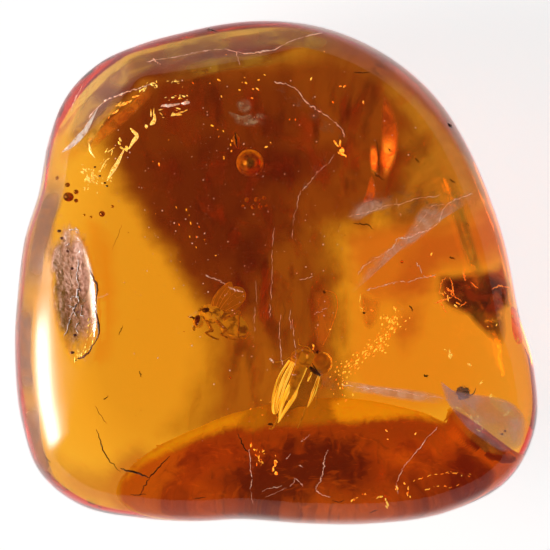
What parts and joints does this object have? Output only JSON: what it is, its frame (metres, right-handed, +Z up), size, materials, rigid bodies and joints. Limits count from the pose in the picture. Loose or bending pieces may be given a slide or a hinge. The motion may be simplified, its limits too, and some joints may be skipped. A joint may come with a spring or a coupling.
{
  "type": "insect in amber",
  "caption": "Polished free-form nugget of clear honey to red-brown amber, flat underneath, holding a small fly and a golden-winged insect",
  "frame": {"origin": "middle of the footprint, on the flat facet that the nugget rests on", "axes": "+X along the longest side, to the right seen from above; +Y to the far side; +Z up, through the thickness"},
  "size_m": [0.0362, 0.0349, 0.0141],
  "materials": {
    "amber": "polished, clear, see-through honey yellow to deep red-brown",
    "fly_brown": "translucent brown, softly glossy",
    "wing_gold": "thin, glossy, glinting like gold leaf"
  },
  "bodies": {
    "root": {"amber_upper": "amber", "amber_lower": "amber", "long_legged_fly": "fly_brown", "golden_winged_insect": "wing_gold"}
  },
  "joints": []
}
